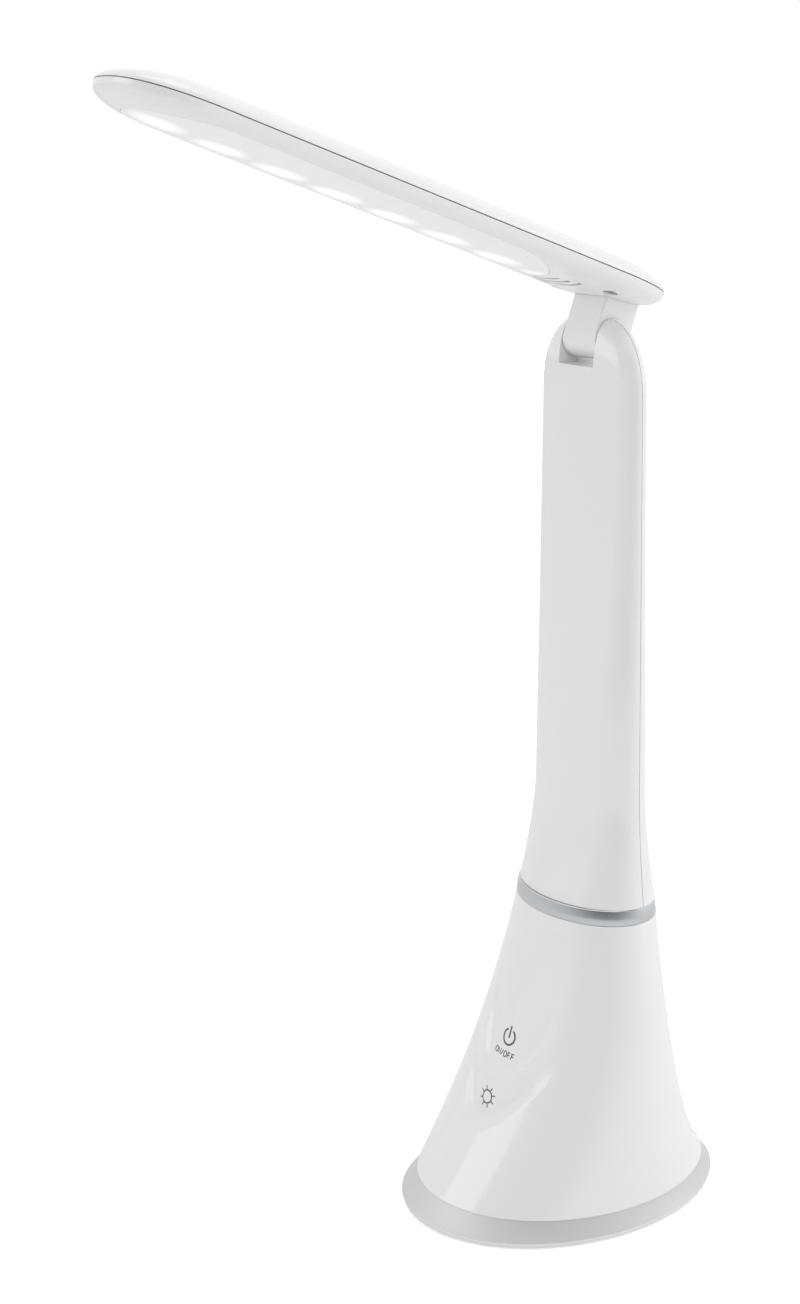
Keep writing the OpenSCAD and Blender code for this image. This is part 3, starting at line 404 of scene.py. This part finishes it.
# Half width and reaches to the front and the back: on the collar, above the flare and at the fork's root.
TOP_OF_COLLAR = np.array([24.6, 18.1, 13.8])
ABOVE_FLARE = np.array([22.1, 11.8, 9.4])
FORK_ROOT = np.array([21.4, 7.5, 6.3])
FLARE_POWER, DOME_POWER, ARCH_POWER, ARM_EDGE = 1.4, 2.4, 3, 0.3
SIDE_POINTS, SLOT_POINTS = 25, 33


def arm_size(z):
    """Half width and reaches at height z: an eased flare, a straight taper, then a dome.

    The dome is (1 - t^e)^(1/e) with t its share of height, and its power e is larger in depth than in width.
    """
    low = (np.clip((FLARE_Z - z) / (FLARE_Z - COLLAR_Z - COLLAR_H), 0, 1) ** FLARE_POWER)[..., None]
    high = np.clip((z - FLARE_Z) / (DOME_Z - FLARE_Z), 0, 1)[..., None]
    size = ABOVE_FLARE + (TOP_OF_COLLAR - ABOVE_FLARE) * low + (FORK_ROOT - ABOVE_FLARE) * high
    t = np.clip((z - DOME_Z) / DOME_H, 0, 1)
    dome, arch = ((1 - t ** power) ** (1 / power) for power in (DOME_POWER, ARCH_POWER))
    return size * np.stack([dome, arch, arch], -1)


def arm_oval(z):
    """Half width, middle in y and half depth of the arm's oval at height z."""
    size = arm_size(z)
    return size[..., 0], (size[..., 2] - size[..., 1]) / 2, (size[..., 2] + size[..., 1]) / 2


def arm_arc(z, run, sign):
    """One of three runs of the oval at height z, in front (sign -1) or behind (sign 1) the parting plane.

    The runs are right of the slot, over the slot and left of the slot.
    """
    half, middle, depth = arm_oval(z)
    start = np.arcsin(np.clip(sign * (SEAM_Y + sign * PART_GAP - middle) / depth, -1, 1))
    corner = np.arccos(np.clip(SLOT_HALF / half, -1, 1))
    other = np.pi - corner
    first, last = {"right": (start, corner), "slot": (corner, other), "left": (other, np.pi - start)}[run]
    share = np.linspace(0, 1, SLOT_POINTS if run == "slot" else SIDE_POINTS)
    angle = first[:, None] + (last - first)[:, None] * share
    x = half[:, None] * np.cos(angle)
    y = middle[:, None] + sign * depth[:, None] * np.sin(angle)
    return np.stack([x, y, np.broadcast_to(z[:, None], x.shape)], -1)


def slot_corner(z, sign, flank):
    """Where a half's parting plane meets the slot's right (flank 1) or left (flank -1) wall, at heights z."""
    return np.stack([0 * z + flank * SLOT_HALF, 0 * z + SEAM_Y + sign * PART_GAP, z], -1)


def ear_heights(sign):
    """Heights of an ear's rows, which crowd towards its crown, where the half gets as narrow as the slot."""
    seam = SEAM_Y + sign * PART_GAP
    z = np.linspace(SLOT_FLOOR, DOME_Z + DOME_H - 0.1, 400)
    half, middle, depth = arm_oval(z)
    reach = np.abs(seam - middle) / np.maximum(depth, 1e-6)
    width = half * np.sqrt(np.clip(1 - reach ** 2, 0, 1))
    stands = (width > SLOT_HALF + 0.02) & (sign * (middle - seam) + depth > 0.05)
    crown = z[np.argmin(stands) - 1]
    return SLOT_FLOOR + (crown - SLOT_FLOOR) * np.sin(np.linspace(0, np.pi / 2, 30))[1:]


def arm_half(sign):
    """Vertices and faces of one half: a D-shaped loft, the slot's floor and two ears on its top row."""
    z = np.concatenate([np.linspace(COLLAR_Z + COLLAR_H + 0.05, FLARE_Z, 28),
                        np.linspace(FLARE_Z + 3, DOME_Z, 30), np.linspace(DOME_Z + 0.6, SLOT_FLOOR, 12)])
    right, slot, left = (arm_arc(z, run, sign) for run in ("right", "slot", "left"))
    inner = np.stack([slot_corner(z, sign, flank) for flank in (-1, 1)], 1)
    rows = np.concatenate([right, slot[:, 1:-1], left, inner], 1)
    count, around = rows.shape[:2]
    verts, faces = loft(rows)
    faces = faces[:count * around]
    verts = list(verts[:-1])
    top = (count - 1) * around
    slot_start = SIDE_POINTS - 1
    slot_end = slot_start + SLOT_POINTS - 1
    faces.append([top + i for i in range(slot_start, slot_end + 1)] + [top + around - 2, top + around - 1])
    z = ear_heights(sign)
    for run, first, wall, flank in (("right", 0, around - 1, 1), ("left", slot_end, around - 2, -1)):
        ear = np.concatenate([arm_arc(z, run, sign), slot_corner(z, sign, flank)[:, None]], 1)
        length = ear.shape[1]
        below = [top + first + i for i in range(SIDE_POINTS)] + [top + wall]
        for row in ear:
            here = list(range(len(verts), len(verts) + length))
            verts.extend(row)
            faces += np.stack([below, np.roll(below, -1), np.roll(here, -1), here], 1).tolist()
            below = here
        faces.append(below[::-1])
    return np.array(verts), faces


for name, sign, node in (("arm_front", -1, "arm_front_shell"), ("arm_back", 1, "arm_back_shell")):
    make_piece(name, *arm_half(sign), "stand", "white_shell", white, [node], bevel=ARM_EDGE)

# Head top: the upper moulding of a flat white ABS clamshell; it meets the lower one in a dark groove.
# Both are stacks of one plan outline: at share r of the outline the height is H (1 - r^e)^(1/e).
TILT, SEAM_RISE, GROOVE, CROWN_H, CROWN_POWER = np.radians(20.2), 15.9, 0.28, 6.15, 1.9
HEAD_HALF, TIP, TAIL, ROUND, PLAN_POWER, HEAD_WALL, HEAD_EDGE = 19.75, 158.7, 12.5, 24.8, 2.4, 1.6, 0.08
MIDDLE, HALF_LENGTH = (TIP - TAIL) / 2, (TIP + TAIL) / 2
HINGE = np.array([0, 0, 250.0])
ALONG, ACROSS = np.array([0, -np.cos(TILT), np.sin(TILT)]), np.array([0, np.sin(TILT), np.cos(TILT)])


def head_point(x, reach, rise):
    """Point of the head: x sideways, reach along it from the hinge, rise square to it."""
    x, reach, rise = np.broadcast_arrays(x, reach, rise)
    return HINGE + x[..., None] * [1, 0, 0] + reach[..., None] * ALONG + rise[..., None] * ACROSS


def plan_outline(turn, share, inset=0.0):
    """Plan outline drawn in by inset and shrunk to a share: straight sides with squarish round ends."""
    x = (HEAD_HALF - inset) * share * signed_power(np.cos(turn), 2 / PLAN_POWER)
    end = (ROUND - inset) * share * np.abs(np.sin(turn)) ** (2 / PLAN_POWER)
    return x, MIDDLE - np.sign(np.sin(turn)) * (HALF_LENGTH - ROUND + end)


head_turn = full_turn(360)[None]
climb = np.radians(np.linspace(0, 89.5, 40))[:, None]
rings = []
for wall, order in ((HEAD_WALL, -1), (0, 1)):
    x, reach = plan_outline(head_turn, np.cos(climb[::order]) ** (2 / CROWN_POWER), wall)
    height = (CROWN_H - GROOVE / 2 - wall) * np.sin(climb[::order]) ** (2 / CROWN_POWER)
    rings.append(head_point(x, reach, SEAM_RISE + GROOVE / 2 + height))
make_piece("head_top", *loft(np.concatenate(rings)), "head", "white_shell", white, ["head_upper_shell"],
           bevel=HEAD_EDGE)

# Underside: the lower moulding, with a lip that centres the top on it and a long opening for the window.
# The neck comes up through a square hole and is screwed on inside; three curved vents lie beside it.
UNDER_SEAM, UNDER_H, UNDER_POWER = SEAM_RISE - GROOVE / 2, 5.7 - GROOVE / 2, 2.74
WINDOW_HALF, WINDOW_FROM, WINDOW_TO, WINDOW_ROUND = 17.2, 24.5, 151, 20
INNER_SHARE, LIP_FROM, LIP_TO, LIP_H = 0.925, 0.45, 1.35, 1.2


def outline_share(x, reach, inset=0.0):
    """The share of the plan outline, drawn in by inset, on which the point (x, reach) lies."""
    end = np.maximum(0, np.abs(reach - MIDDLE) - (HALF_LENGTH - ROUND)) / (ROUND - inset)
    return (np.abs(x / (HEAD_HALF - inset)) ** PLAN_POWER + end ** PLAN_POWER) ** (1 / PLAN_POWER)


def under_skin(x, reach, wall):
    """Rise of the underside's skin at (x, reach), a wall further in: the seam less height times curve."""
    share = np.clip(outline_share(x, reach, wall), 0, 1)
    return UNDER_SEAM + (wall - UNDER_H) * (1 - share ** UNDER_POWER) ** (1 / UNDER_POWER)


def window_outline(turn, inset):
    """Outline of the window, drawn in by inset: straight sides and elliptic ends."""
    half, middle = (WINDOW_TO - WINDOW_FROM) / 2, (WINDOW_TO + WINDOW_FROM) / 2
    end = (WINDOW_ROUND - inset) * np.abs(np.sin(turn))
    x = (WINDOW_HALF - inset) * np.cos(turn)
    return x, middle - np.sign(np.sin(turn)) * (half - WINDOW_ROUND + end)


def prism(outline, low, high):
    """Closed prism on an outline of (x, reach) points between two rises; each end is one face."""
    x, reach = np.asarray(outline, float).T
    count = len(x)
    points, sides = loft(np.stack([head_point(x, reach, rise + 0 * x) for rise in (low, high)]))
    return points[:2 * count], sides[:count] + [list(range(count)), list(range(count, 2 * count))]


# Rows run from the window's edge to the head's edge and crowd towards it.
share = (1 - (1 - np.linspace(0, 1, 44)) ** 2.2)[:, None]
window_x, window_reach = window_outline(head_turn, 0)
skins = []
for wall, order in ((0, 1), (HEAD_WALL, -1)):
    edge_x, edge_reach = plan_outline(head_turn, INNER_SHARE if wall else 1.0, wall)
    x = window_x + (edge_x - window_x) * share[::order]
    reach = window_reach + (edge_reach - window_reach) * share[::order]
    skins.append(head_point(x, reach, under_skin(x, reach, wall)))
lip_out, lip_in = (plan_outline(head_turn[0], 1.0, HEAD_WALL + inset) for inset in (LIP_FROM, LIP_TO))
lip = [head_point(*lip_out, UNDER_SEAM), head_point(*lip_out, UNDER_SEAM + LIP_H),
       head_point(*lip_in, UNDER_SEAM + LIP_H)]
rings = np.concatenate([skins[0], np.stack(lip), skins[1]])
underside = make_piece("head_underside", *loft(rings, loop=True), "head", "white_shell", white,
                       ["head_lower_shell"])
NECK_X, NECK_REACH, NECK_TOP = 7.4, 6.1, 15
VENTS, VENT_REACH, VENT_R, VENT_PITCH, VENT_W, VENT_TOP = 3, 41.1, 20, 2.8, 1.1, 14.1
WELL_X, WELL_REACH, WELL_R, WELL_TOP, BELOW = 11.6, 8.4, 2.15, 13, 8
neck_hole = [(-NECK_X, -NECK_REACH), (NECK_X, -NECK_REACH), (NECK_X, NECK_REACH), (-NECK_X, NECK_REACH)]
cuts = [prism(neck_hole, BELOW, NECK_TOP)]
for k in range(VENTS):
    sweep, radius = 17.5 + 2.5 * k, VENT_R + VENT_PITCH * k
    outer, inner = (arc_path(radius + way * VENT_W / 2, 270 - sweep, 270 + sweep, 25) + [0, VENT_REACH]
                    for way in (1, -1))
    cuts.append(prism(np.vstack([outer, inner[::-1]]), BELOW, VENT_TOP))
for well_x in (-WELL_X, WELL_X):
    cuts.append(prism(arc_path(WELL_R, 0, 360, 49)[:-1] + [well_x, WELL_REACH], BELOW, WELL_TOP))
carve(underside, cuts)

# Screw wells: two blind cups behind the round holes beside the neck, moulded in white with the underside.
# Each is a profile of (radius, rise) turned about the hole.
CUP_WALL, CUP_FLOOR, CUP_FROM, CUP_MIDDLE = 0.75, 0.9, 11, 0.05
cup_profile = [(CUP_MIDDLE, WELL_TOP), (WELL_R, WELL_TOP), (WELL_R, CUP_FROM), (WELL_R + CUP_WALL, CUP_FROM),
               (WELL_R + CUP_WALL, WELL_TOP + CUP_FLOOR), (CUP_MIDDLE, WELL_TOP + CUP_FLOOR)]
radius, rise = np.array(cup_profile).T[..., None]
turn = full_turn(48)[None]
for name, well_x in (("left", -WELL_X), ("right", WELL_X)):
    cup = head_point(well_x + radius * np.cos(turn), WELL_REACH + radius * np.sin(turn), rise)
    make_piece("screw_well_" + name, *loft(cup), "head", "white_shell", white)

# Window: a milky acrylic lens let in flush with the underside and held behind it.
# It is lit by seven lamps close above it, which show as soft bright spots.
LENS_GAP, LENS_THICK, LAMP_FROM, LAMP_PITCH = 0.1, 1.5, 39, 17.2
SPOT_REACH, SPOT_GLOW, EDGE_GLOW = 0.24, 0.26, 0.03


def work_out(material, operation, *values):
    """A maths node on plain numbers and sockets, in that order of inputs; gives its result."""
    numbers = {i: value for i, value in enumerate(values) if isinstance(value, float)}
    sockets = {i: value for i, value in enumerate(values) if not isinstance(value, float)}
    return add_node(material, "ShaderNodeMath", {"operation": operation, **numbers}, sockets).outputs[0]


# The glow falls with the squared distance from the nearest lamp, counted in lamp pitches on the lens's plan.
opal, shader = new_material("opal_acrylic_lit", "#F4F4F4", 0.3, IOR=1.49)
shader.inputs["Emission Color"].default_value = to_linear("#FFFEFC")
plan = add_node(opal, "ShaderNodeUVMap", {"uv_map": "lamp_plan"})
lamp = add_node(opal, "ShaderNodeSeparateXYZ", (), {"Vector": plan.outputs["UV"]})
nearest = work_out(opal, "ROUND", lamp.outputs["X"])
off_lamp = work_out(opal, "SUBTRACT", lamp.outputs["X"], nearest)
off_lamp = work_out(opal, "POWER", work_out(opal, "ABSOLUTE", off_lamp), 2.0)
off_line = work_out(opal, "POWER", lamp.outputs["Y"], 2.0)
distance = work_out(opal, "ADD", off_lamp, off_line)
glow = add_node(opal, "ShaderNodeMapRange",
                {"interpolation_type": "SMOOTHSTEP", "From Min": 0.0, "From Max": SPOT_REACH,
                 "To Min": SPOT_GLOW, "To Max": EDGE_GLOW}, {"Value": distance})
opal.node_tree.links.new(glow.outputs["Result"], shader.inputs["Emission Strength"])
share = np.concatenate([np.linspace(0.02, 0.97, 50), [0.99, 1.0]])[:, None]
edge_x, edge_reach = window_outline(head_turn, LENS_GAP)
spine = window_outline(head_turn, WINDOW_ROUND)[1]
x, reach = edge_x * share, spine + (edge_reach - spine) * share
skin = under_skin(x, reach, 0)
rings = np.concatenate([head_point(x, reach, skin), head_point(x, reach, skin + LENS_THICK)[::-1]])
window = make_piece("window_lens", *loft(rings), "head", "opal_window", opal, ["diffuser"])
lamp_plan = window.data.uv_layers.new(name="lamp_plan")
place = np.array([v.co[:] for v in window.data.vertices]) * 1000 - HINGE
index = np.empty(len(window.data.loops), np.int32)
window.data.loops.foreach_get("vertex_index", index)
pitches = np.stack([(place @ ALONG - LAMP_FROM) / LAMP_PITCH, place[:, 0] / LAMP_PITCH], 1)
lamp_plan.data.foreach_set("uv", pitches[index].ravel())

# Hardware and inside pieces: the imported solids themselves, screwed, clipped or laid inside the two bodies.
# Each finish has its colour, roughness, metal share, the size and height of its grain in mm, and its pieces.
finishes = {
    "moulded_rubber": ("#1C1C1D", 0.8, 0.0, 0.8, 0.02, ["foot_pad", "arm_lead"]),
    "zinc_plated_steel": ("#B4B6BA", 0.32, 1.0, 0.5, 0.002,
                          ["base_screws", "ballast_plate", "charge_socket", "arm_screws", "hinge_pin",
                           "hinge_nut", "spring_washers", "neck_screws", "board_screws"]),
    "dark_nylon": ("#26262A", 0.55, 0.0, 0.6, 0.004, ["battery_holder", "friction_washers"]),
    "shrink_film": ("#2A4C84", 0.35, 0.0, 3, 0.01, ["battery_cell"]),
    "solder_mask": ("#12522C", 0.4, 0.0, 0.7, 0.006, ["driver_board", "touch_board"]),
    "white_coated_board": ("#E4E4DE", 0.5, 0.0, 0.7, 0.004, ["reflector", "led_board"]),
    "lamp_phosphor": ("#F2DC7C", 0.5, 0.0, 0.4, 0.004, ["leds"])}


def coat(material, nodes):
    """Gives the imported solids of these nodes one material."""
    for node in nodes:
        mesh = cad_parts[node].data
        mesh.materials.clear()
        mesh.materials.append(material)


for name, (colour, roughness, metal, grain, height, nodes) in finishes.items():
    material, shader = new_material(name, colour, roughness, Metallic=metal)
    grain_bump(material, shader, grain, height)
    coat(material, nodes)
coat(white, ["hinge_neck"])

# Floor: a plain sweep of white paper under the lamp.
# It gives off some light of its own to the camera only, so that it shows white around the soft shadow.
FLOOR_HALF, FLOOR_LIFT = 9, 0.45
corners = [(-FLOOR_HALF, -FLOOR_HALF, 0), (FLOOR_HALF, -FLOOR_HALF, 0), (FLOOR_HALF, FLOOR_HALF, 0),
           (-FLOOR_HALF, FLOOR_HALF, 0)]
floor_mesh = bpy.data.meshes.new("floor")
floor_mesh.from_pydata(corners, [], [(0, 1, 2, 3)])
floor = bpy.data.objects.new("floor", floor_mesh)
bpy.context.collection.objects.link(floor)
paper, shader = new_material("white_paper", "#F6F6F6", 0.9, Specular_IOR_Level=0.0)
floor_mesh.materials.append(paper)
rays = add_node(paper, "ShaderNodeLightPath")
lift = add_node(paper, "ShaderNodeEmission", {"Color": (1, 1, 1, 1)})
lift_strength = work_out(paper, "MULTIPLY", rays.outputs["Is Camera Ray"], FLOOR_LIFT)
both = add_node(paper, "ShaderNodeAddShader", (), {0: shader.outputs[0], 1: lift.outputs[0]})
paper.node_tree.links.new(lift_strength, lift.inputs["Strength"])
paper.node_tree.links.new(both.outputs[0], paper.node_tree.nodes["Material Output"].inputs["Surface"])

# Dark studio behind the camera: a bent card that only reflections see, black in its middle and paler at its
# ends. It sets off the soft box beside it, and the silver ring darkens where it mirrors the card's middle.
CARD_RADIUS, CARD_HEIGHT, CARD_COLUMNS = 0.65, 0.7, 64
PALE_AZIMUTHS, PALE_SHARES = [-91, -58, -35, 40], [0.5, 0, 0, 1]
azimuth = np.linspace(PALE_AZIMUTHS[0], PALE_AZIMUTHS[-1], CARD_COLUMNS)
bend = np.stack([CARD_RADIUS * np.cos(np.radians(azimuth)), CARD_RADIUS * np.sin(np.radians(azimuth))], 1)
card_mesh = bpy.data.meshes.new("dark_card")
card_mesh.from_pydata(np.vstack([np.insert(bend, 2, z, 1) for z in (0.0, CARD_HEIGHT)]), [],
                      [(i, i + 1, i + 1 + CARD_COLUMNS, i + CARD_COLUMNS) for i in range(CARD_COLUMNS - 1)])
paleness = card_mesh.attributes.new("paleness", "FLOAT", "POINT")
paleness.data.foreach_set("value", np.tile(np.interp(azimuth, PALE_AZIMUTHS, PALE_SHARES), 2))
card = bpy.data.objects.new("dark_card", card_mesh)
bpy.context.collection.objects.link(card)
card.visible_camera = card.visible_diffuse = card.visible_shadow = False
graded, shader = new_material("graded_card", "#060606", 0.9, Specular_IOR_Level=0.0,
                              Emission_Color=(1, 1, 1, 1))
pale = add_node(graded, "ShaderNodeAttribute", {"attribute_name": "paleness"})
graded.node_tree.links.new(pale.outputs["Fac"], shader.inputs["Emission Strength"])
card_mesh.materials.append(graded)

# Air: the camera, mirrors and clear pieces see a white studio all round.
# Its diffuse light on the lamp is weaker, so that the soft boxes shape the white walls.
AIR_LIGHT, AIR_SEEN = 0.71, 1.0
world = bpy.data.worlds.new("studio")
bpy.context.scene.world = world
world.use_nodes = True
rays = add_node(world, "ShaderNodeLightPath")
air = world.node_tree.nodes["Background"]
air.inputs["Color"].default_value, air.inputs["Strength"].default_value = (1, 1, 1, 1), AIR_LIGHT
seen = add_node(world, "ShaderNodeBackground", {"Color": (1, 1, 1, 1), "Strength": AIR_SEEN})
straight = work_out(world, "MAXIMUM", rays.outputs["Is Camera Ray"], rays.outputs["Is Glossy Ray"])
straight = work_out(world, "MAXIMUM", straight, rays.outputs["Is Transmission Ray"])
mix = add_node(world, "ShaderNodeMixShader", (), {0: straight, 1: air.outputs[0], 2: seen.outputs[0]})
world.node_tree.links.new(mix.outputs[0], world.node_tree.nodes["World Output"].inputs["Surface"])

# Soft boxes: a strip at the left front that only the gloss mirrors, as the light streak on the foot, a weak
# fill in the same place that only lights, one behind on the right for bright right edges, and one overhead.
# Each is given by azimuth, height, distance, width, length and radiance, and faces a point low in the lamp.
AIM = np.array([0, 0, 0.15])
soft_boxes = {
    "left_strip": (-112, 0.78, 1.1, 0.76, 0.85, 1.45),
    "left_fill": (-112, 0.55, 1.1, 0.76, 1.0, 0.52),
    "right_box": (52, 0.5, 1.2, 0.9, 1.0, 1.3),
    "top_box": (100, 1.7, 0.2, 1.1, 1.1, 1.35)}
for name, (azimuth, height, distance, wide, tall, radiance) in soft_boxes.items():
    light = bpy.data.lights.new(name, "AREA")
    light.shape, light.size, light.size_y = "RECTANGLE", wide, tall
    light.energy = radiance * np.pi * wide * tall
    place = np.array([distance * np.cos(np.radians(azimuth)), distance * np.sin(np.radians(azimuth)), height])
    away = place - AIM
    away /= np.linalg.norm(away)
    flat = np.cross([0, 0, 1], away)
    flat /= np.linalg.norm(flat)
    upright = np.cross(away, flat)
    box = bpy.data.objects.new(name, light)
    box.matrix_world = Matrix([[flat[i], upright[i], away[i], place[i]] for i in range(3)] + [[0, 0, 0, 1]])
    bpy.context.collection.objects.link(box)
    box.visible_diffuse, box.visible_glossy = name != "left_strip", name != "left_fill"
bpy.context.scene.view_settings.view_transform = "Standard"
